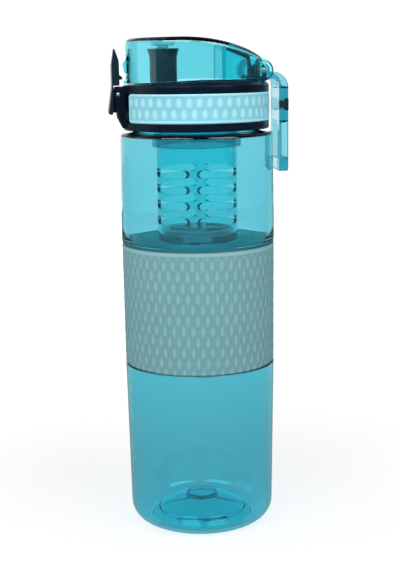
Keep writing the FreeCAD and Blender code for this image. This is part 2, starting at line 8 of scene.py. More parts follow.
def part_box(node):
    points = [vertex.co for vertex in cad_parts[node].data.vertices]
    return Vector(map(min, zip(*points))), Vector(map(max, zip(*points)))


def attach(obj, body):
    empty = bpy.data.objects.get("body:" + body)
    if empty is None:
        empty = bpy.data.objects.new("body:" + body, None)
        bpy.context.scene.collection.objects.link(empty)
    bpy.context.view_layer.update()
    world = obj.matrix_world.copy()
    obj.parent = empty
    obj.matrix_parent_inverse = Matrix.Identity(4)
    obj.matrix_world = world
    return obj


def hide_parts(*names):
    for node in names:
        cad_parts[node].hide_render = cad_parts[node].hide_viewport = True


# Looks of the fruit infuser water bottle, in metres, in the CAD frame.
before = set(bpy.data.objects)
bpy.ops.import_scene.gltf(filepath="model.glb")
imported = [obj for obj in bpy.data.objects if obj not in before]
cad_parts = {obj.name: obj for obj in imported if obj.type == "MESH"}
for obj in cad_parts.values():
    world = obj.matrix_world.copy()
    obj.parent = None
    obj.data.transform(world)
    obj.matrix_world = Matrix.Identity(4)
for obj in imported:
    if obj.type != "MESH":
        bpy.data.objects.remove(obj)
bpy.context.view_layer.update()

MM = 0.001
MERGE = 0.001 * MM
FULL_TURN = 2 * math.pi

# Camera, fitted to the photograph's perspective
PHOTO_HIGH = 570
SENSOR = 36.0
FOCAL_PIXELS = 1156.0
CLIP_START = 10 * MM
EYE_DISTANCE = 552 * MM
EYE_HEIGHT = 223 * MM
EYE_AZIMUTH = math.radians(-6.3)
EYE_PITCH = math.radians(10.9)
EYE_ROLL = math.radians(-0.88)
AIM_RIGHT = 0.6 * MM

# Clear plastic: refraction, roughness, and the height over which the body's deeper colour low down gives
# way to its skin colour
CLEAR_IOR = 1.5
CLEAR_ROUGH = 0.012
SCUFF_ROUGH = 0.03
SCUFF_POWER = 3
TINT_RISE = 150 * MM

# Embossed silicone: what makes it paler (a painted highlight where the relief rises), the heights over
# which the sleeve brightens (painted shade low down), and the painted shade along the sleeve's top joint
RAISED_HIGHLIGHT_TONE = 0.85
CLOUD_TONE = 0.3
VALLEY_TONE = 0.2
HEIGHT_SHADE_TONE = 0.16
SHADE_LOW = 80 * MM
SHADE_RISE = 50 * MM
CLOUD_ROUGH = 0.12
RAISED_POLISH = 0.1
# Painted shade: colour of the dark line along the sleeve's top, where the body's ledge shades the joint
JOINT_SHADE_COLOUR = (0.0035, 0.085, 0.12)

# Dark plastic, steel and seals
MOULD_CLOUD_ROUGH = 0.14
MOULD_GRAIN_ROUGH = 0.06
STEEL_DARK = (0.62, 0.63, 0.64)
STEEL_LIGHT = (0.8, 0.81, 0.82)
STEEL_ROUGH = 0.28
STEEL_LINE_ROUGH = 0.16
SEAL_DARK = (0.72, 0.82, 0.83)
SEAL_LIGHT = (0.86, 0.92, 0.92)
SEAL_CLEAR = 0.7
SEAL_IOR = 1.41
SEAL_ROUGH = 0.32
SEAL_CLOUD_ROUGH = 0.15

# Smoothness of the pieces, with angles in degrees
TURN_STEPS = 192
ARC_STEPS = 8
LONGEST_STRAIGHT = 6 * MM
ROD_STEPS = 64
ROD_END_STEPS = 4
ROUND_PROFILE = 0.5
SHARP_ANGLE = 35
ROUND_SHARP_ANGLE = 60
FLAT_ANGLE = 0.3
SOFT_ANGLE = 40
SOFT_STEPS = 2
NORMAL_WEIGHT = 50
LID_SOFT = 0.2 * MM
LATCH_SOFT = 0.3 * MM
STRIP_SOFT = 0.25 * MM

# Bottle body: the outside is the solid's, the thin walls and the base follow the photograph
BODY_WALL = 2.0 * MM
SHOULDER_TAPER = 0.4 * MM
LOW_TAPER = 0.3 * MM
FOOT_TAPER = 1.7 * MM
TAPER_RISE = 22.4 * MM
SHOULDER_Z = 190.8 * MM
SHOULDER_ROUND = 1.7 * MM
SHOULDER_WALL = 1.5 * MM
NECK_ROOT_Z = 191.3 * MM
NECK_R = 29.4 * MM
NECK_IN_R = 27.0 * MM
NECK_ROUND = 1.2 * MM
LIP_ROUND = 0.8 * MM
FOOT_ROUND = 9.0 * MM
FOOT_WALL = 1.2 * MM
FOOT_RING_R = 24.5 * MM
BASE_DISC_R = 20.5 * MM
PUSH_UP = 3.2 * MM
FLOOR_THICK = 3.0 * MM
BASE_BLEND = 1.5 * MM
BASE_DOME = 6.0 * MM
DOME_SHARES = (0.5, 0.65, 0.8, 0.92)
GATE_R = 6.6 * MM
GATE_WIDE = 0.8 * MM
GATE_DEEP = 0.8 * MM
SLEEVE_THICK = 1.4 * MM
RECESS_DRAFT = 1.0 * MM
STEP_ROUND = 0.7 * MM
RECESS_ROUND = 0.5 * MM
NOTCH_SIZE = Vector((3.5, 11.0, 8.0)) * MM
NOTCH_R = 19.45 * MM
NOTCH_ANGLE = math.radians(-79)

# Flip cap and its hinge
CAP_WALL = 1.8 * MM
CAP_ROOF = 2.0 * MM
CAP_EDGE = 3.0 * MM
CAP_INNER_EDGE = 0.8 * MM
CAP_RIM = 0.3 * MM
CAP_LOW_Z = 215.3 * MM
CAP_DIP = 1.6 * MM
CAP_SLOPE_X = -10.0 * MM
CAP_SLOPE_R = 90.0 * MM
CAP_STEP = 2.0 * MM
CAP_SKIN_SHARE = 0.9
LID_R = 34.4 * MM
HINGE_X = 29.7 * MM
HINGE_Z = 219.0 * MM
KNUCKLE_R = 5.0 * MM
PIN_HOLE_R = 1.25 * MM
SLOT_FRONT_X = 12.5 * MM
SLOT_HALF = 12.0 * MM
CHEEK = 3.0 * MM
BRIDGE_DROP = 0.5 * MM
BOSS_PROUD = 0.4 * MM
BOSS_ROUND = 1.4 * MM
# Share of the boss's rounding whose faces are marked for the knuckle ring's painted shade
BOSS_RING_SHARE = 0.9
SQUARE_ON = 0.95
PIN_ROUND = 0.5 * MM
CATCH_HALF = 7.0 * MM
CATCH_WEDGE = ((-31.4, 218.6), (-33.6, 218.6), (-34.5, 222.8), (-31.4, 227.4))
CATCH_LIP = ((-31.4, 213.7), (-34.1, 213.7), (-34.1, 215.3), (-31.4, 215.3))

# Drinking spout
SPOUT_R = 6.4 * MM
SPOUT_FLARE = 1.1 * MM
SPOUT_FLARE_HIGH = 3.2 * MM
SPOUT_FLARE_ROUND = 13.0 * MM
SPOUT_RIM = 0.5 * MM
SPOUT_BORE_R = 3.4 * MM
SPOUT_SPIGOT_R = 4.5 * MM
SPOUT_BASE_R = 9.2 * MM
SPOUT_BASE_THICK = 1.6 * MM
SPOUT_DECK = 2.4 * MM

# Infuser and its collar
SLOT_ROWS = 4
SLOT_COLUMNS = 4
SLOT_DROP = 29.4 * MM
SLOT_PITCH = 7.4 * MM
SLOT_HIGH = 3.8 * MM
SLOT_WIDE = 22.6 * MM
SLOT_END_SHARE = 0.495
INFUSER_WALL = 1.5 * MM
INFUSER_TURN = math.radians(-12)
TUBE_EDGE = 0.2 * MM
COLLAR_EDGE = 0.3 * MM
COLLAR_FLANGE = 3.2 * MM
COLLAR_FLANGE_THICK = 1.4 * MM

# Embossed drops on the sleeve and the lid band
DROP_SAMPLES = 8
DROP_RISE = 0.22 * MM
DROP_LOW_SHARE = 0.45
DROP_TAPER = 0.4
STAGGER = 0.5
SLEEVE_COLUMNS = 50
SLEEVE_ROWS = 11
SLEEVE_ROW_SAMPLES = DROP_SAMPLES + 2
SLEEVE_PITCH = 5.1 * MM
SLEEVE_PLAIN = 5.0 * MM
SLEEVE_DROP = (0.56, 1.32)
SLEEVE_OVERRUN = 0.1
SLEEVE_GAP = 0.05 * MM
SLEEVE_BEAD = 0.5 * MM
# Painted shade along the sleeve's top edge: its height, and the shares of it that stay solid and that fade
SLEEVE_JOINT_SHADE = 1.5 * MM
JOINT_SHADE_SOLID = 0.7
JOINT_SHADE_FADE = 0.3
# Top lip and the row of dashes under it, raised and painted paler as a painted highlight
LIP_DROP = 2.75 * MM
LIP_HALF = 0.9 * MM
DASH_DROP = 4.25 * MM
DASH_HALF_HIGH = 0.6 * MM
DASH_HALF_SHARE = 0.34
BAND_COLUMNS = 41
BAND_ROWS = 2
BAND_ROW_SAMPLES = 2 * DROP_SAMPLES
BAND_RIM_SAMPLES = 4
BAND_DROP = (0.86, 1.16)
BAND_RISE = 0.25 * MM
BAND_BEAD = 0.3 * MM
BAND_CORNER = 2.2 * MM
BAND_OPEN_HALF = 11.9 * MM
BAND_THICK = 1.1 * MM
BAND_RIM = 1.5 * MM
RIM_SOLID = 0.6
RIM_FADE = 0.5
# How far the band's raised rim is painted paler, a painted highlight
RIM_SHARE = 0.7

# Strip on the carry loop, wrapped a little over its legs
STRIP_PROUD = 0.3 * MM
STRIP_SIDE = 3.6 * MM

# Neck thread
THREAD_PITCH = 4.0 * MM
THREAD_TURNS = 1.5
THREAD_HIGH = 1.8 * MM
THREAD_PROUD = 1.1 * MM
THREAD_SUNK = 0.2 * MM
THREAD_DROP = 2.2 * MM
THREAD_FLAT = 0.4
THREAD_STEPS = 144

# Studio: the room's light on surfaces, through clear plastic and in mirrors, and the floor's far glow
ROOM = 0.5
ROOM_THROUGH = 1.0
MIRROR_FRONT = 0.03
MIRROR_BEHIND = 0.6
MIRROR_NARROW = 4
STAGE_ROUGH = 0.9
FAR_SLOPE = 2.2
FAR_START = 0.2
LAMP_AIM = Vector((0, 0, 0.13))
FRONT_LAMP = (1.0, 0.6)
FRONT_POWER = 10.8
SIDE_LAMP = (0.8, 0.7)
SIDE_POWER = 2.0


class Value:
    """A number in a shader; arithmetic on it adds Math nodes to its tree."""

    def __init__(self, tree, socket):
        self.tree = tree
        self.socket = socket

    def math(self, operation, first, second):
        node = self.tree.nodes.new("ShaderNodeMath")
        node.operation = operation
        plug(self.tree, node.inputs[0], first)
        plug(self.tree, node.inputs[1], second)
        return Value(self.tree, node.outputs[0])

    def __add__(self, other):
        return self.math("ADD", self, other)

    def __radd__(self, other):
        return self.math("ADD", other, self)

    def __sub__(self, other):
        return self.math("SUBTRACT", self, other)

    def __rsub__(self, other):
        return self.math("SUBTRACT", other, self)

    def __mul__(self, other):
        return self.math("MULTIPLY", self, other)

    def __rmul__(self, other):
        return self.math("MULTIPLY", other, self)

    def __pow__(self, other):
        return self.math("POWER", self, other)

    def largest(self, other):
        return self.math("MAXIMUM", self, other)

    def clamped(self):
        return self.math("MINIMUM", self.largest(0.0), 1.0)


def plug(tree, socket, value):
    """Links a shader value to a socket, or sets a plain value there."""
    if isinstance(value, Value):
        tree.links.new(value.socket, socket)
    else:
        socket.default_value = value


def opaque(colour):
    """A colour triple with full alpha; a shader value stays as it is."""
    return colour if isinstance(colour, Value) else (*colour, 1)


class Finish:
    """One procedural material with a Principled shader."""

    def __init__(self, name):
        self.material = bpy.data.materials.new(name)
        self.material.use_nodes = True
        self.tree = self.material.node_tree
        self.shader = self.tree.nodes["Principled BSDF"]
        self.output = self.tree.nodes["Material Output"]

    def node(self, kind, settings, inputs, output=0):
        made = self.tree.nodes.new(kind)
        for name, value in settings.items():
            setattr(made, name, value)
        for name, value in inputs.items():
            plug(self.tree, made.inputs[name], value)
        return Value(self.tree, made.outputs[output])

    def set(self, **sockets):
        for name, value in sockets.items():
            plug(self.tree, self.shader.inputs[name.replace("_", " ")], value)

    def spot(self):
        return self.node("ShaderNodeTexCoord", {}, {}, "Object")

    def height(self):
        return self.node("ShaderNodeSeparateXYZ", {}, {0: self.spot()}, "Z")

    def mark(self, name):
        return self.node("ShaderNodeAttribute", {"attribute_name": name}, {}, "Fac")

    def noise(self, scale, detail, stretch=(1, 1, 1)):
        place = self.node("ShaderNodeMapping", {}, {"Vector": self.spot(), "Scale": stretch})
        inputs = {"Vector": place, "Scale": scale, "Detail": detail}
        return self.node("ShaderNodeTexNoise", {}, inputs, "Fac")

    def mix(self, share, low, high):
        ends = {6: opaque(low), 7: opaque(high)}
        return self.node("ShaderNodeMix", {"data_type": "RGBA"}, {0: share, **ends}, 2)

    def bump(self, height, strength, distance):
        inputs = {"Height": height, "Strength": strength, "Distance": distance}
        self.set(Normal=self.node("ShaderNodeBump", {}, inputs))


def clear_plastic(name, skin_tint, tint, density, low_tint=None, face_tints=None):
    """Clear plastic, tinted at its skin and in its thickness, on request deeper low down, and on marked
    faces, where the cap and the infuser tube take painted shade and painted light.
    """
    finish = Finish(name)
    scuff = finish.noise(scale=240, detail=4.0)
    ripple = finish.noise(scale=24, detail=1.0, stretch=(1, 1, 0.35))
    colour = skin_tint
    if low_tint:
        rise = (finish.height() * (1 / TINT_RISE)).clamped()
        colour = finish.mix(rise, low_tint, colour)
    for mark, face_tint in (face_tints or {}).items():
        colour = finish.mix(finish.mark(mark), colour, face_tint)
    finish.set(Base_Color=opaque(colour), Transmission_Weight=1.0, IOR=CLEAR_IOR)
    finish.set(Roughness=CLEAR_ROUGH + SCUFF_ROUGH * scuff ** SCUFF_POWER)
    finish.bump(ripple, strength=0.008, distance=0.1 * MM)
    absorb = finish.node("ShaderNodeVolumeAbsorption", {}, {"Color": opaque(tint), "Density": density})
    plug(finish.tree, finish.output.inputs["Volume"], absorb)
    to_lamp = finish.node("ShaderNodeLightPath", {}, {}, "Is Shadow Ray")
    crossing = [math.sqrt(share) for share in skin_tint]
    lets_through = finish.node("ShaderNodeBsdfTransparent", {}, {"Color": opaque(crossing)})
    skin = Value(finish.tree, finish.shader.outputs[0])
    plug(finish.tree, finish.output.inputs["Surface"],
         finish.node("ShaderNodeMixShader", {}, {0: to_lamp, 1: skin, 2: lets_through}))
    return finish.material


def embossed_silicone(name, valley, ridge, lit_lining, roughness):
    """Satin silicone, paler where the embossed drops rise as a painted highlight, darker low down as
    painted shade, with a bright inside face painted as light coming through the silicone.
    """
    finish = Finish(name)
    raised = finish.mark("raised")
    cloud = finish.noise(scale=60, detail=3.0)
    grain = finish.noise(scale=2600, detail=2.0)
    # Painted shade: the sleeve is painted darker towards its bottom
    rise = ((finish.height() - SHADE_LOW) * (1 / SHADE_RISE)).clamped()
    # Painted highlight: the raised relief is painted paler, where light catches it
    tone = raised * RAISED_HIGHLIGHT_TONE + cloud * CLOUD_TONE - VALLEY_TONE + rise * HEIGHT_SHADE_TONE
    outside = finish.mix(tone.largest(0.0), valley, ridge)
    inside = (0.0 - raised).largest(0.0)
    # Painted light: the inside face takes a bright colour that stands in for light coming through the
    # translucent silicone
    lined = finish.mix(inside, outside, lit_lining)
    # Painted shade: the dark line where the body's ledge shades the sleeve's top
    finish.set(Base_Color=finish.mix(finish.mark("joint"), lined, JOINT_SHADE_COLOUR))
    finish.set(Roughness=roughness + CLOUD_ROUGH * cloud - RAISED_POLISH * raised)
    finish.bump(grain, strength=0.12, distance=0.05 * MM)
    return finish.material


def moulded_plastic(name, dark, light, roughness, shine):
    """Dark moulded plastic with a faint grain and a little wear."""
    finish = Finish(name)
    cloud = finish.noise(scale=90, detail=3.0)
    grain = finish.noise(scale=1800, detail=2.0)
    finish.set(Base_Color=finish.mix(cloud, dark, light), Specular_IOR_Level=shine)
    finish.set(Roughness=roughness + MOULD_CLOUD_ROUGH * cloud + MOULD_GRAIN_ROUGH * grain)
    finish.bump(grain, strength=0.08, distance=0.04 * MM)
    return finish.material


def drawn_steel(name):
    """Stainless wire with fine drawing lines along Y."""
    finish = Finish(name)
    lines = finish.noise(scale=900, detail=2.0, stretch=(1, 0.04, 1))
    finish.set(Base_Color=finish.mix(lines, STEEL_DARK, STEEL_LIGHT))
    finish.set(Metallic=1.0, Roughness=STEEL_ROUGH + STEEL_LINE_ROUGH * lines)
    finish.bump(lines, strength=0.1, distance=0.03 * MM)
    return finish.material


def seal_silicone(name):
    """Milky translucent silicone."""
    finish = Finish(name)
    cloud = finish.noise(scale=150, detail=3.0)
    finish.set(Base_Color=finish.mix(cloud, SEAL_DARK, SEAL_LIGHT), Transmission_Weight=SEAL_CLEAR)
    finish.set(IOR=SEAL_IOR, Roughness=SEAL_ROUGH + SEAL_CLOUD_ROUGH * cloud)
    finish.bump(cloud, strength=0.05, distance=0.05 * MM)
    return finish.material


# The body's colour is deeper towards the bottom and on the base floor's faces
body_clear = clear_plastic(
    "body_clear", skin_tint=(0.54, 0.80, 0.87), tint=(0.0, 0.826, 0.859), density=200,
    low_tint=(0.36, 0.79, 0.89), face_tints={"cut": (0.05, 0.82, 0.91)})
# Painted light: the hinge pocket's wall faces take a paler tint; painted shade: the knuckle's rounded ring
# takes a dark tint
cap_clear = clear_plastic(
    "cap_clear", skin_tint=(0.44, 0.82, 0.885), tint=(0.0, 0.85, 0.88), density=120,
    face_tints={"pocket": (0.44, 0.97, 0.99), "cut": (0.03, 0.3, 0.36)})
loop_clear = clear_plastic(
    "loop_clear", skin_tint=(0.38, 0.71, 0.80), tint=(0.0, 0.71, 0.765), density=120)
# Painted shade: the slot walls take a dark tint, for the dark edges that refraction gives
infuser_clear = clear_plastic(
    "infuser_clear", skin_tint=(0.32, 0.95, 0.97), tint=(0.0, 0.71, 0.765), density=150,
    face_tints={"cut": (0.02, 0.4, 0.46)})
fitting_clear = clear_plastic(
    "fitting_clear", skin_tint=(0.10, 0.64, 0.69), tint=(0.0, 0.71, 0.765), density=150)
sleeve_silicone = embossed_silicone(
    "sleeve_silicone", valley=(0.155, 0.345, 0.38), ridge=(0.24, 0.49, 0.53),
    lit_lining=(0.02, 0.9, 0.74), roughness=0.5)
band_silicone = embossed_silicone(
    "band_silicone", valley=(0.22, 0.58, 0.69), ridge=(0.38, 0.82, 0.93),
    lit_lining=(0.3, 0.7, 0.8), roughness=0.42)
lid_plastic = moulded_plastic(
    "lid_plastic", dark=(0.001, 0.006, 0.015), light=(0.003, 0.011, 0.026), roughness=0.18, shine=0.18)
# Painted sheen: the latch's colours are lifted above the lid's dark plastic to stand in for its specular
# sheen
latch_sheen_plastic = moulded_plastic(
    "latch_sheen_plastic", dark=(0.006, 0.017, 0.032), light=(0.012, 0.026, 0.044), roughness=0.2, shine=0.25)
spout_plastic = moulded_plastic(
    "spout_plastic", dark=(0.002, 0.006, 0.012), light=(0.004, 0.010, 0.020), roughness=0.14, shine=0.6)
badge_plastic = moulded_plastic(
    "badge_plastic", dark=(0.004, 0.006, 0.008), light=(0.009, 0.012, 0.015), roughness=0.45, shine=0.3)
pin_steel = drawn_steel("pin_steel")
clear_seal = seal_silicone("clear_seal")


def add_object(name, data):
    """Puts mesh, lamp or camera data in the scene."""
    thing = bpy.data.objects.new(name, data)
    bpy.context.scene.collection.objects.link(thing)
    return thing


def add_mesh(name, mesh):
    """Puts a bmesh in the scene as an object, and frees it."""
    data = bpy.data.meshes.new(name)
    mesh.to_mesh(data)
    mesh.free()
    return add_object(name, data)


def add_piece(name, mesh, body, material, stands_for, sharp=SHARP_ANGLE, soft=0.0):
    """Turns a bmesh into a smooth-shaded piece that rides on a body, its sharp edges rounded by soft."""
    piece = add_mesh(name, mesh)
    data = piece.data
    data.polygons.foreach_set("use_smooth", [True] * len(data.polygons))
    data.set_sharp_from_angle(angle=math.radians(sharp))
    data.materials.append(material)
    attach(piece, body)
    if stands_for:
        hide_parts(*stands_for)
    if soft:
        bevel = piece.modifiers.new("soft_edges", "BEVEL")
        bevel.width = soft
        bevel.segments = SOFT_STEPS
        bevel.limit_method = "ANGLE"
        bevel.angle_limit = math.radians(SOFT_ANGLE)
    weigh = piece.modifiers.new("true_normals", "WEIGHTED_NORMAL")
    weigh.mode = "FACE_AREA"
    weigh.weight = NORMAL_WEIGHT
    weigh.keep_sharp = True
    return piece


def store(piece, name, shares, kind="POINT"):
    """Keeps a number for each point or face of a piece, for its material."""
    layer = piece.data.attributes.new(name, "FLOAT", kind)
    layer.data.foreach_set("value", shares)


def merged_copy(node):
    """The CAD node's triangles, joined into one skin of flat and ruled faces."""
    mesh = bmesh.new()
    mesh.from_mesh(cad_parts[node].data)
    bmesh.ops.remove_doubles(mesh, verts=mesh.verts, dist=MERGE)
    flat = math.radians(FLAT_ANGLE)
    bmesh.ops.dissolve_limit(mesh, angle_limit=flat, verts=mesh.verts, edges=mesh.edges)
    bmesh.ops.recalc_face_normals(mesh, faces=mesh.faces)
    return mesh


def combine(mesh, tool, operation):
    """Cuts or joins one closed skin with another."""
    things = [add_mesh("tool", part) for part in (mesh, tool)]
    step = things[0].modifiers.new("combine", "BOOLEAN")
    step.operation = operation
    step.object = things[1]
    step.solver = "EXACT"
    result = bmesh.new()
    result.from_object(things[0], bpy.context.evaluated_depsgraph_get())
    for thing in things:
        data = thing.data
        bpy.data.objects.remove(thing)
        bpy.data.meshes.remove(data)
    return result


def block(size, middle):
    """Box of a size about a middle."""
    mesh = bmesh.new()
    place = Matrix.Translation(middle) @ Matrix.Diagonal((*size, 1))
    bmesh.ops.create_cube(mesh, size=1, matrix=place)
    return mesh


def turn_about_axis(mesh, angle):
    """Turns a skin about the bottle's axis."""
    bmesh.ops.rotate(mesh, verts=mesh.verts, cent=(0, 0, 0), matrix=Matrix.Rotation(angle, 3, "Z"))


def round_edges(mesh, edges, offset, steps):
    """Rounds edges to quarter circles."""
    bmesh.ops.bevel(mesh, geom=edges, offset=offset, segments=steps, profile=ROUND_PROFILE,
                    affect="EDGES", material=-1)


def prism(points, half):
    """Side outline of (x, z) points drawn across to both sides of the middle plane."""
    mesh = bmesh.new()
    corners = [mesh.verts.new((x, -half, z)) for x, z in points]
    side = bmesh.ops.contextual_create(mesh, geom=corners)["faces"]
    made = bmesh.ops.extrude_face_region(mesh, geom=side)["geom"]
    moved = [part for part in made if isinstance(part, bmesh.types.BMVert)]
    bmesh.ops.translate(mesh, verts=moved, vec=(0, 2 * half, 0))
    bmesh.ops.recalc_face_normals(mesh, faces=mesh.faces)
    return mesh


def crosswise_rod(radius, half, x, z, rounding=0.0):
    """Round rod along Y about the middle plane, its ends rounded on request."""
    mesh = bmesh.new()
    place = Matrix.Translation((x, 0, z)) @ Matrix.Rotation(math.pi / 2, 4, "X")
    bmesh.ops.create_cone(mesh, cap_ends=True, segments=ROD_STEPS, radius1=radius, radius2=radius,
                          depth=2 * half, matrix=place)
    if rounding:
        rims = [e for e in mesh.edges if abs(e.verts[0].co.y - e.verts[1].co.y) < MERGE]
        round_edges(mesh, rims, rounding, ROD_END_STEPS)
    return mesh


def rounded(points, longest):
    """Profile through (radius, height, rounding) points, with arcs at its corners and long lines split."""
    spots = []
    for i, (radius, height, rounding) in enumerate(points):
        here = Vector((radius, height))
        if not rounding:
            spots.append(here)
            continue
        back = (Vector(points[i - 1][:2]) - here).normalized()
        ahead = (Vector(points[i + 1][:2]) - here).normalized()
        half = back.angle(ahead) / 2
        centre = here + (back + ahead).normalized() * rounding / math.sin(half)
        start = here + back * rounding / math.tan(half) - centre
        sweep = start.angle_signed(here + ahead * rounding / math.tan(half) - centre)
        for k in range(ARC_STEPS + 1):
            turn = Matrix.Rotation(-sweep * k / ARC_STEPS, 2)
            spots.append(centre + turn @ start)
    dense = [spots[0]]
    for a, b in zip(spots, spots[1:]):
        count = max(1, math.ceil((b - a).length / longest))
        dense += [a.lerp(b, (k + 1) / count) for k in range(count)]
    return dense


def turned(points, longest=LONGEST_STRAIGHT):
    """Skin made by turning an open profile once about Z; its ends lie on the axis or meet."""
    mesh = bmesh.new()
    spots = [mesh.verts.new((spot.x, 0, spot.y)) for spot in rounded(points, longest)]
    edges = [mesh.edges.new(pair) for pair in zip(spots, spots[1:])]
    bmesh.ops.spin(mesh, geom=spots + edges, cent=(0, 0, 0), axis=(0, 0, 1), dvec=(0, 0, 0),
                   angle=FULL_TURN, steps=TURN_STEPS, use_merge=True)
    bmesh.ops.remove_doubles(mesh, verts=mesh.verts, dist=MERGE)
    bmesh.ops.recalc_face_normals(mesh, faces=mesh.faces)
    return mesh


def spun_section(mesh, points, steps, angle, closed=False, rise=0.0):
    """Spins a closed cross-section of (radius, height) points about Z; gives both ends' edges."""
    spots = [mesh.verts.new((radius, 0, height)) for radius, height in points]
    edges = [mesh.edges.new(pair) for pair in zip(spots, spots[1:] + spots[:1])]
    made = bmesh.ops.spin(mesh, geom=spots + edges, cent=(0, 0, 0), axis=(0, 0, 1), dvec=(0, 0, rise),
                          angle=angle, steps=steps, use_merge=closed)
    return edges, [part for part in made["geom_last"] if isinstance(part, bmesh.types.BMEdge)]


def put(spot, radius, turn):
    """Moves a point to a radius and an angle about the axis, at its own height."""
    spot.co.x = radius * math.cos(turn)
    spot.co.y = radius * math.sin(turn)


def smooth_step(share):
    """Share from 0 to 1, eased at both ends."""
    share = min(1, max(0, share))
    return share * share * (3 - 2 * share)


def bead(depth, reach):
    """How far a rounded edge of radius reach falls back at a depth from its rim."""
    short = min(reach, max(0, reach - depth))
    return reach - math.sqrt(reach * reach - short * short)


def dome(radius):
    """Height of the base's underside at a radius inside the foot ring."""
    return PUSH_UP + BASE_DOME * (1 - (radius / BASE_DISC_R) ** 2)


def base_profile(lift, groove):
    """The base's dome from its middle out, raised by lift, with the gate ring moved by groove."""
    gate_out = GATE_R + GATE_WIDE
    spots = [(0, 0), (GATE_R, 0), (GATE_R, groove), (gate_out, groove), (gate_out, 0)]
    spots += [(share * BASE_DISC_R, 0) for share in DOME_SHARES]
    return [(radius, dome(radius) + lift + moved, 0) for radius, moved in spots]


def clear_body():
    """Body with its neck, sleeve recess, shoulder, foot ring, gate ring and locating notch."""
    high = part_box("bottle_body")[1]
    sleeve_low, sleeve_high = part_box("grip_sleeve")
    radius = high.x
    low_r = radius - LOW_TAPER
    foot_r = radius - FOOT_TAPER
    shoulder_r = radius - SHOULDER_TAPER
    taper_z = sleeve_high.z + TAPER_RISE
    outside = [
        *base_profile(0, GATE_DEEP),
        (BASE_DISC_R, PUSH_UP, BASE_BLEND / 2), (FOOT_RING_R, 0, BASE_BLEND), (foot_r, 0, FOOT_ROUND),
        (low_r, sleeve_low.z, STEP_ROUND), (low_r - SLEEVE_THICK, sleeve_low.z, 0),
        (radius - SLEEVE_THICK, sleeve_high.z, 0), (radius, sleeve_high.z, RECESS_ROUND),
        (radius, taper_z, 0), (shoulder_r, SHOULDER_Z, SHOULDER_ROUND),
        (NECK_R, NECK_ROOT_Z, NECK_ROUND), (NECK_R, high.z, LIP_ROUND),
    ]
    inside = [
        (NECK_IN_R, high.z, LIP_ROUND), (NECK_IN_R, NECK_ROOT_Z - SHOULDER_WALL, NECK_ROUND),
        (shoulder_r - SHOULDER_WALL, SHOULDER_Z - SHOULDER_WALL, SHOULDER_ROUND - SHOULDER_WALL),
        (radius - BODY_WALL, taper_z, 0),
        (radius - BODY_WALL, sleeve_high.z + RECESS_DRAFT, 0),
        (radius - SLEEVE_THICK - BODY_WALL, sleeve_high.z - RECESS_DRAFT, 0),
        (low_r - SLEEVE_THICK - BODY_WALL, sleeve_low.z + RECESS_DRAFT, 0),
        (low_r - BODY_WALL, sleeve_low.z - RECESS_DRAFT, 0),
        (foot_r - FOOT_WALL, FOOT_WALL, FOOT_ROUND - FOOT_WALL), (FOOT_RING_R, FOOT_WALL, BASE_BLEND),
        (BASE_DISC_R, PUSH_UP + FLOOR_THICK, BASE_BLEND / 2),
        *reversed(base_profile(FLOOR_THICK, -GATE_DEEP)),
    ]
    mesh = turned(outside + inside)
    notch = block(NOTCH_SIZE, Vector((NOTCH_R, 0, 0)))
    turn_about_axis(notch, NOTCH_ANGLE)
    mesh = combine(mesh, notch, "DIFFERENCE")
    # Faces of the base floor, marked for a deeper colour
    base_top = dome(0) + 2 * FLOOR_THICK
    spots = [face.calc_center_median() for face in mesh.faces]
    floor = [float(spot.z < base_top and math.hypot(spot.x, spot.y) < FOOT_RING_R) for spot in spots]
    piece = add_piece("clear_body", mesh, "bottle", body_clear, ["bottle_body"])
    store(piece, "cut", floor, "FACE")


def infuser_tube():
    """Tube with rows of round-ended slots, whose cut faces are marked for a painted shade."""
    low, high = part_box("infuser_tube")
    outer = high.x
    inner = outer - INFUSER_WALL
    mesh = turned([(inner, low.z, 0), (outer, low.z, TUBE_EDGE), (outer, high.z, TUBE_EDGE),
                   (inner, high.z, 0), (inner, low.z, 0)])
    slots = bmesh.new()
    for row in range(SLOT_ROWS):
        level = high.z - SLOT_DROP - row * SLOT_PITCH
        for column in range(SLOT_COLUMNS):
            slot = block(Vector((outer, SLOT_WIDE, SLOT_HIGH)), Vector((outer, 0, level)))
            along = [e for e in slot.edges if abs((e.verts[0].co - e.verts[1].co).x) > MERGE]
            round_edges(slot, along, SLOT_END_SHARE * SLOT_HIGH, ARC_STEPS)
            turn_about_axis(slot, INFUSER_TURN + (column + 0.5) * FULL_TURN / SLOT_COLUMNS)
            data = bpy.data.meshes.new("slot")
            slot.to_mesh(data)
            slot.free()
            slots.from_mesh(data)
            bpy.data.meshes.remove(data)
    mesh = combine(mesh, slots, "DIFFERENCE")
    mesh.normal_update()
    # Slot walls, marked for their painted shade
    painted_shade_faces = []
    for face in mesh.faces:
        outward = face.calc_center_median() * Vector((1, 1, 0))
        painted_shade_faces.append(float(abs(face.normal.dot(outward)) < outer / 2))
    piece = add_piece("infuser_tube_clear", mesh, "infuser", infuser_clear, ["infuser_tube"])
    store(piece, "cut", painted_shade_faces, "FACE")


def cap_fall(x, drop):
    """How far the cap's top has curved down at x, on a skin lowered by drop."""
    radius = CAP_SLOPE_R - drop
    aside = max(0, x - CAP_SLOPE_X)
    return radius - math.sqrt(radius * radius - aside * aside)


def bend_cap(mesh, radius, top):
    """Bends a turned skin to the cap's slope above and to the lid ring's dip below."""
    inside_r = radius - CAP_WALL * CAP_SKIN_SHARE
    inside_top = top - CAP_ROOF * CAP_SKIN_SHARE
    for spot in mesh.verts:
        x, y, z = spot.co
        is_inner = math.hypot(x, y) < inside_r and z < inside_top
        drop = CAP_ROOF if is_inner else 0.0
        edge = CAP_INNER_EDGE if is_inner else CAP_EDGE
        share = min(1, max(0, (z - CAP_LOW_Z) / (top - drop - edge - CAP_LOW_Z)))
        spot.co.z = z - cap_fall(x, drop) * share + CAP_DIP * min(x, 0) / LID_R * (1 - share)
    return mesh


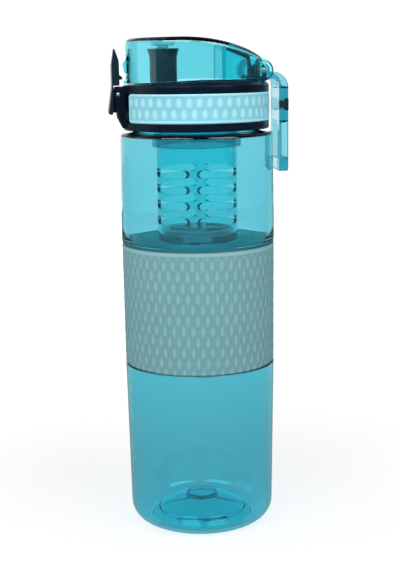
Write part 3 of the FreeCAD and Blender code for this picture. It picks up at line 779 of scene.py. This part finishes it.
def clear_cap():
    """Flip cap: bent shell with the hinge pocket's walls, knuckles and the catch."""
    low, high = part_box("flip_cap")
    radius = high.y
    top = high.z
    inner = radius - CAP_WALL
    shell = turned([
        (0, top, 0), (radius, top, CAP_EDGE), (radius, CAP_LOW_Z, CAP_RIM), (inner, CAP_LOW_Z, CAP_RIM),
        (inner, top - CAP_ROOF, CAP_INNER_EDGE), (0, top - CAP_ROOF, 0),
    ], CAP_STEP)
    shell = bend_cap(shell, radius, top)
    half_wall = CAP_WALL / 2
    core = turned([
        (0, top - half_wall, 0), (radius - half_wall, top - half_wall, CAP_EDGE - half_wall),
        (radius - half_wall, CAP_LOW_Z, 0), (0, CAP_LOW_Z, 0),
    ], CAP_STEP)
    core = bend_cap(core, radius, top)
    half = SLOT_HALF + CHEEK
    front_x = SLOT_FRONT_X - CAP_WALL
    high_z = top - low.z
    around = block(Vector((HINGE_X - front_x, 2 * half, 2 * high_z)),
                   Vector(((HINGE_X + front_x) / 2, 0, top)))
    walls = combine(core, around, "INTERSECT")
    cap = combine(shell, walls, "UNION")
    start_x = HINGE_X - KNUCKLE_R
    rise = top - cap_fall(start_x, 0) - BRIDGE_DROP - HINGE_Z
    lean = math.acos(KNUCKLE_R / math.hypot(KNUCKLE_R, rise)) - math.atan2(KNUCKLE_R, rise)
    touch = (HINGE_X + KNUCKLE_R * math.sin(lean), HINGE_Z + KNUCKLE_R * math.cos(lean))
    bridge = [(start_x, HINGE_Z), (start_x, HINGE_Z + rise), touch, (HINGE_X, HINGE_Z)]
    boss = crosswise_rod(KNUCKLE_R, half + BOSS_PROUD, HINGE_X, HINGE_Z, BOSS_ROUND)
    knuckle = combine(boss, prism(bridge, half), "UNION")
    cap = combine(cap, knuckle, "UNION")
    reach = high.x
    slot = block(Vector((reach, 2 * SLOT_HALF, 2 * high_z)), Vector((SLOT_FRONT_X + reach / 2, 0, top)))
    cap = combine(cap, slot, "DIFFERENCE")
    cap = combine(cap, crosswise_rod(PIN_HOLE_R, 2 * half, HINGE_X, HINGE_Z), "DIFFERENCE")
    for side in (CATCH_WEDGE, CATCH_LIP):
        cap = combine(cap, prism([(x * MM, z * MM) for x, z in side], CATCH_HALF), "UNION")
    # Marks for the cap's painted shade on the knuckle's rounded ring and painted light on the pocket's
    # walls
    painted_shade_faces = []
    pocket = []
    cap.normal_update()
    for face in cap.faces:
        middle = face.calc_center_median()
        away = math.hypot(middle.x - HINGE_X, middle.z - HINGE_Z)
        on_ring = abs(middle.y) > SLOT_HALF and abs(away - KNUCKLE_R) < BOSS_ROUND * BOSS_RING_SHARE
        is_cheek = abs(face.normal.y) > SQUARE_ON
        is_wall = is_cheek or abs(face.normal.x) > SQUARE_ON
        in_pocket = middle.x > front_x - MERGE and abs(middle.y) < half + MERGE
        painted_shade_faces.append(float(on_ring and not is_cheek))
        pocket.append(float(in_pocket and is_wall))
    piece = add_piece("clear_cap", cap, "cap", cap_clear, ["flip_cap"])
    store(piece, "cut", painted_shade_faces, "FACE")
    store(piece, "pocket", pocket, "FACE")


def flared_spout():
    """Spout whose stem widens in a hollow curve to its mouth, on a round base."""
    low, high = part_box("drinking_spout")
    deck = low.z + SPOUT_DECK
    middle = (low + high) / 2
    flare_r = SPOUT_R + SPOUT_FLARE
    mesh = turned([
        (SPOUT_BORE_R, low.z, 0), (SPOUT_SPIGOT_R, low.z, 0),
        (SPOUT_SPIGOT_R, deck, 0), (SPOUT_BASE_R, deck, 0),
        (SPOUT_BASE_R, deck + SPOUT_BASE_THICK, SPOUT_RIM), (SPOUT_R, deck + SPOUT_BASE_THICK, SPOUT_RIM),
        (SPOUT_R, high.z - SPOUT_FLARE_HIGH, SPOUT_FLARE_ROUND), (flare_r, high.z - SPOUT_RIM, 0),
        (flare_r - SPOUT_RIM / 2, high.z, 0), (SPOUT_BORE_R, high.z, SPOUT_RIM), (SPOUT_BORE_R, low.z, 0),
    ])
    bmesh.ops.translate(mesh, verts=mesh.verts, vec=(middle.x, 0, 0))
    add_piece("spout", mesh, "lid", spout_plastic, ["drinking_spout"])


def infuser_collar():
    """Collar that holds the infuser under the lid, with its inner flange."""
    low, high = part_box("infuser_collar")
    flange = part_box("infuser_seal")[1].z
    outer = high.x
    inner = outer - INFUSER_WALL
    flange_r = inner - COLLAR_FLANGE
    mesh = turned([
        (inner, low.z, 0), (outer, low.z, COLLAR_EDGE), (outer, high.z, 0), (inner, high.z, 0),
        (inner, flange + COLLAR_FLANGE_THICK, 0), (flange_r, flange + COLLAR_FLANGE_THICK, 0),
        (flange_r, flange, 0), (inner, flange, 0), (inner, low.z, 0),
    ])
    add_piece("infuser_collar_clear", mesh, "lid", fitting_clear, ["infuser_collar"])


def drop_height(across, along, wide, long):
    """Height share of the embossed drops at (columns across, rows along): slim above, full below."""
    best = 0.0
    nearest = math.floor(along)
    for row in (nearest - 1, nearest, nearest + 1):
        rise = (along - row - 0.5) / long + 0.5
        if not 0 < rise < 1:
            continue
        shift = across - STAGGER * (row % 2)
        aside = abs(shift - round(shift)) * 2 / (wide * (1 - DROP_TAPER * rise))
        away = (rise - DROP_LOW_SHARE) / (DROP_LOW_SHARE if rise < DROP_LOW_SHARE else 1 - DROP_LOW_SHARE)
        best = max(best, 1 - aside * aside - away * away)
    return smooth_step(best)


def dash_height(across, along):
    """Height share of the row of short dashes under the sleeve's top lip."""
    shift = across - STAGGER * (SLEEVE_ROWS % 2)
    aside = shift - round(shift)
    return max(0, 1 - (aside / DASH_HALF_SHARE) ** 2 - along ** 2)


def embossed_sleeve():
    """Silicone sleeve with a plain top lip, a row of dashes and rows of staggered drops."""
    low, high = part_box("grip_sleeve")
    top_r = high.x
    foot_r = top_r - LOW_TAPER
    long = high.z - low.z
    rows = SLEEVE_ROWS * SLEEVE_ROW_SAMPLES
    points = [(top_r, low.z + long * i / rows) for i in range(rows + 1)]
    points += [(top_r - SLEEVE_THICK, high.z), (top_r - SLEEVE_THICK, low.z)]
    mesh = bmesh.new()
    spun_section(mesh, points, SLEEVE_COLUMNS * DROP_SAMPLES, FULL_TURN, closed=True)
    shares = []
    joint_shades = []
    for spot in mesh.verts:
        level = (spot.co.z - low.z) / long
        radius = foot_r + (top_r - foot_r) * level
        turn = math.atan2(spot.co.y, spot.co.x)
        share = joint = 0.0
        # Inside face: marked -1 for the bright colour painted as light through the silicone
        if math.hypot(spot.co.x, spot.co.y) < top_r - SLEEVE_THICK / 2:
            radius -= SLEEVE_THICK - SLEEVE_GAP
            share = -1.0
        else:
            below = high.z - spot.co.z
            across = SLEEVE_COLUMNS * turn / FULL_TURN
            along = SLEEVE_ROWS - (below - SLEEVE_PLAIN) / SLEEVE_PITCH
            in_drops = along < SLEEVE_ROWS + SLEEVE_OVERRUN
            # Painted highlight: the lip and the dash row under it are raised and painted paler, where
            # light catches their rounded edges
            lip = smooth_step(2 - 2 * abs(below - LIP_DROP) / LIP_HALF)
            drops = drop_height(across, along, *SLEEVE_DROP) if in_drops else 0.0
            share = max(lip, drops, dash_height(across, (below - DASH_DROP) / DASH_HALF_HIGH))
            radius -= DROP_RISE * (1 - share) + bead(min(below, spot.co.z - low.z), SLEEVE_BEAD)
            # Painted shade: the top of the sleeve's outside is marked dark where the body's ledge shades
            # it
            joint = 1 - smooth_step((below - JOINT_SHADE_SOLID * SLEEVE_JOINT_SHADE) / (JOINT_SHADE_FADE * SLEEVE_JOINT_SHADE))
        put(spot, radius, turn)
        shares.append(share)
        joint_shades.append(joint)
    bmesh.ops.recalc_face_normals(mesh, faces=mesh.faces)
    piece = add_piece("embossed_sleeve", mesh, "bottle", sleeve_silicone, ["grip_sleeve"],
                      ROUND_SHARP_ANGLE)
    store(piece, "raised", shares)
    store(piece, "joint", joint_shades)


def lid_band():
    """Silicone band in the lid ring, with two rows of drops inside a plain rim and rounded ends."""
    low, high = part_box("lid_band")
    outer = high.x
    inner = outer - BAND_THICK
    open_half = math.asin(BAND_OPEN_HALF / outer)
    sweep = FULL_TURN - 2 * open_half
    mid = (low.z + high.z) / 2
    half = (high.z - low.z) / 2
    rows = BAND_ROWS * BAND_ROW_SAMPLES + BAND_RIM_SAMPLES
    points = [(outer, low.z + 2 * half * i / rows) for i in range(rows + 1)]
    points += [(inner, high.z), (inner, low.z)]
    mesh = bmesh.new()
    for end in spun_section(mesh, points, BAND_COLUMNS * DROP_SAMPLES, sweep):
        bmesh.ops.contextual_create(mesh, geom=end)
    shares = []
    for spot in mesh.verts:
        turn = math.atan2(spot.co.y, spot.co.x) % FULL_TURN
        is_outer = math.hypot(spot.co.x, spot.co.y) > outer - BAND_THICK / 2
        to_end = min(turn, sweep - turn) * outer
        fall = bead(to_end, BAND_CORNER)
        spot.co.z = mid + (spot.co.z - mid) * (half - fall) / half
        share = 0.0
        radius = inner
        if is_outer:
            to_rim = min(to_end, half - fall - abs(spot.co.z - mid))
            rim = 1 - smooth_step((to_rim - RIM_SOLID * BAND_RIM) / (RIM_FADE * BAND_RIM))
            along = BAND_ROWS * (spot.co.z - mid + half - BAND_RIM) / (2 * half - 2 * BAND_RIM)
            # Painted highlight: the band's rim and drops are painted paler where they rise
            share = max(rim * RIM_SHARE, drop_height(BAND_COLUMNS * turn / sweep, along, *BAND_DROP))
            radius = outer - BAND_RISE * (1 - share) - bead(to_rim, BAND_BEAD)
        put(spot, radius, turn + (math.pi + open_half))
        shares.append(share)
    bmesh.ops.recalc_face_normals(mesh, faces=mesh.faces)
    piece = add_piece("lid_grip_band", mesh, "lid", band_silicone, ["lid_band"],
                      ROUND_SHARP_ANGLE)
    store(piece, "raised", shares)


def neck_thread():
    """Helical ridge on the neck, which the lid screws down on."""
    low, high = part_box("neck_gasket")
    root = high.x - THREAD_SUNK
    crest = root + THREAD_PROUD
    top = low.z - THREAD_DROP
    half = THREAD_HIGH / 2
    flat = half * THREAD_FLAT
    points = [(root, top - half), (crest, top - flat), (crest, top + flat), (root, top + half)]
    rise = -THREAD_PITCH * THREAD_TURNS / THREAD_STEPS
    mesh = bmesh.new()
    for end in spun_section(mesh, points, THREAD_STEPS, FULL_TURN * THREAD_TURNS, rise=rise):
        bmesh.ops.contextual_create(mesh, geom=end)
    bmesh.ops.recalc_face_normals(mesh, faces=mesh.faces)
    add_piece("neck_thread", mesh, "bottle", body_clear, [])


def wire(name, node):
    """Steel pin with rounded ends that stand a little proud."""
    low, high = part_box(node)
    middle = (low + high) / 2
    rod = crosswise_rod((high.z - low.z) / 2, high.y + BOSS_PROUD, middle.x, middle.z, PIN_ROUND)
    add_piece(name, rod, "lid", pin_steel, [node], ROUND_SHARP_ANGLE)


def loop_strip():
    """Bare strip on the carry loop, a little proud of it and wider than the gap it fills."""
    low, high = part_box("loop_badge")
    size = high - low
    plate = block(Vector((size.x + STRIP_PROUD, size.y + 2 * STRIP_SIDE, size.z)),
                  (low + high) / 2 + Vector((STRIP_PROUD / 2, 0, 0)))
    add_piece("loop_strip", plate, "loop", badge_plastic, ["loop_badge"], soft=STRIP_SOFT)


clear_body()
embossed_sleeve()
lid_band()
neck_thread()
clear_cap()
flared_spout()
infuser_collar()
infuser_tube()

# Pieces whose CAD shape is right: the same skin, smooth-shaded, with its finish and any soft edges
for name, node, body, slot, material, soft in (
    ("carry_loop_clear", "carry_loop", "loop", "clear_teal", loop_clear, 0.0),
    ("infuser_end_clear", "infuser_base", "infuser", "clear_teal", fitting_clear, 0.0),
    ("lid_inner", "lid_insert", "lid", "dark_plastic", lid_plastic, 0.0),
    ("gasket_ring", "neck_gasket", "gasket", "seal_silicone", clear_seal, 0.0),
    ("infuser_ring", "infuser_seal", "seal_ring", "seal_silicone", clear_seal, 0.0),
    ("spout_plug", "spout_seal", "cap", "seal_silicone", clear_seal, 0.0),
    ("latch_leaf", "latch_spring", "lid", "pin_steel", pin_steel, 0.0),
    ("lid_ring", "lid_shell", "lid", "dark_plastic", lid_plastic, LID_SOFT),
    ("rocker_latch", "latch", "latch", "dark_plastic", latch_sheen_plastic, LATCH_SOFT),
):
    add_piece(name, merged_copy(node), body, material, [node], soft=soft)

wire("hinge_wire", "hinge_pin")
wire("latch_wire", "latch_pin")
loop_strip()


def set_camera():
    """Camera at the photograph's eye point, aimed and rolled as fitted."""
    data = bpy.data.cameras.new("photo_camera")
    data.sensor_width = SENSOR
    data.lens = FOCAL_PIXELS / PHOTO_HIGH * SENSOR
    data.clip_start = CLIP_START
    camera = add_object("photo_camera", data)
    right = Vector((math.cos(EYE_AZIMUTH), math.sin(EYE_AZIMUTH), 0))
    eye = Vector((math.sin(EYE_AZIMUTH), -math.cos(EYE_AZIMUTH), 0)) * EYE_DISTANCE
    eye.z = EYE_HEIGHT
    aim = right * AIM_RIGHT
    aim.z = EYE_HEIGHT - EYE_DISTANCE * math.tan(EYE_PITCH)
    turn = (aim - eye).to_track_quat("-Z", "Y").to_matrix() @ Matrix.Rotation(EYE_ROLL, 3, "Z")
    camera.matrix_world = Matrix.Translation(eye) @ turn.to_4x4()
    bpy.context.scene.camera = camera


def light_path(tree):
    """Whether a ray is seen straight, mirrored, or through a clear piece."""
    path = tree.nodes.new("ShaderNodeLightPath")
    kinds = ("Is Camera Ray", "Is Glossy Ray", "Is Transmission Ray")
    return [Value(tree, path.outputs[kind]) for kind in kinds]


def set_world():
    """White where the camera looks, a plain grey room for the light on the object."""
    world = bpy.data.worlds.new("white_studio")
    world.use_nodes = True
    bpy.context.scene.world = world
    tree = world.node_tree
    ground = tree.nodes["Background"]
    ground.inputs["Color"].default_value = (1, 1, 1, 1)
    straight, mirrored, through = light_path(tree)
    aim = tree.nodes.new("ShaderNodeTexCoord")
    split = tree.nodes.new("ShaderNodeSeparateXYZ")
    tree.links.new(aim.outputs["Generated"], split.inputs[0])
    behind = (Value(tree, split.outputs["Y"]) * 0.5 + 0.5) ** MIRROR_NARROW
    plug(tree, ground.inputs["Strength"],
         ROOM + straight * (1 - ROOM) + through * (ROOM_THROUGH - ROOM)
         + mirrored * (MIRROR_FRONT - ROOM + behind * MIRROR_BEHIND))


def add_stage(name, size, place, base, glow, far_glow=0.0):
    """Pale sheet that takes a soft shadow; its glows are what a camera, a mirror and a clear piece see."""
    mesh = bmesh.new()
    bmesh.ops.create_grid(mesh, x_segments=1, y_segments=1, size=size)
    mesh.transform(place)
    sheet = add_mesh(name, mesh)
    finish = Finish(name + "_white")
    finish.set(Base_Color=(base, base, base, 1), Roughness=STAGE_ROUGH, Specular_IOR_Level=0.0)
    straight, mirrored, through = light_path(finish.tree)
    to_camera, to_mirror, to_clear = glow
    away = finish.node("ShaderNodeVectorMath", {"operation": "LENGTH"}, {0: finish.spot()}, "Value")
    far = (away * FAR_SLOPE - FAR_START).clamped()
    seen = straight * (to_camera + far * (1 - to_camera))
    seen = seen + mirrored * to_mirror
    seen = seen + through * (to_clear + far * far_glow)
    finish.set(Emission_Color=finish.mix(seen, (0, 0, 0), (1, 1, 1)), Emission_Strength=1.0)
    sheet.data.materials.append(finish.material)


def add_lamp(name, spot, size, power):
    """Rectangular lamp at a spot, aimed at the bottle's middle."""
    data = bpy.data.lights.new(name, "AREA")
    data.shape = "RECTANGLE"
    data.size = size[0]
    data.size_y = size[1]
    data.energy = power
    lamp = add_object(name, data)
    turn = (LAMP_AIM - Vector(spot)).to_track_quat("-Z", "Y").to_matrix().to_4x4()
    lamp.matrix_world = Matrix.Translation(spot) @ turn


set_camera()
set_world()
add_stage("floor", 2.0, Matrix.Identity(4), base=0.24, glow=(0.71, 0.0, 0.42), far_glow=0.5)
upright = Matrix.Translation((0, 1.2, 0.4)) @ Matrix.Rotation(math.pi / 2, 4, "X")
add_stage("backdrop", 0.5, upright, base=0.2, glow=(1.0, 1.0, 1.0))
add_lamp("key", (-0.65, -0.8, 1.0), FRONT_LAMP, FRONT_POWER)
add_lamp("fill", (0.65, -0.8, 1.0), FRONT_LAMP, FRONT_POWER)
add_lamp("side", (-1.0, 0.05, 0.5), SIDE_LAMP, SIDE_POWER)

scene = bpy.context.scene
scene.view_settings.view_transform = "Standard"
scene.cycles.max_bounces = 24
scene.cycles.transmission_bounces = 24
scene.cycles.transparent_max_bounces = 16
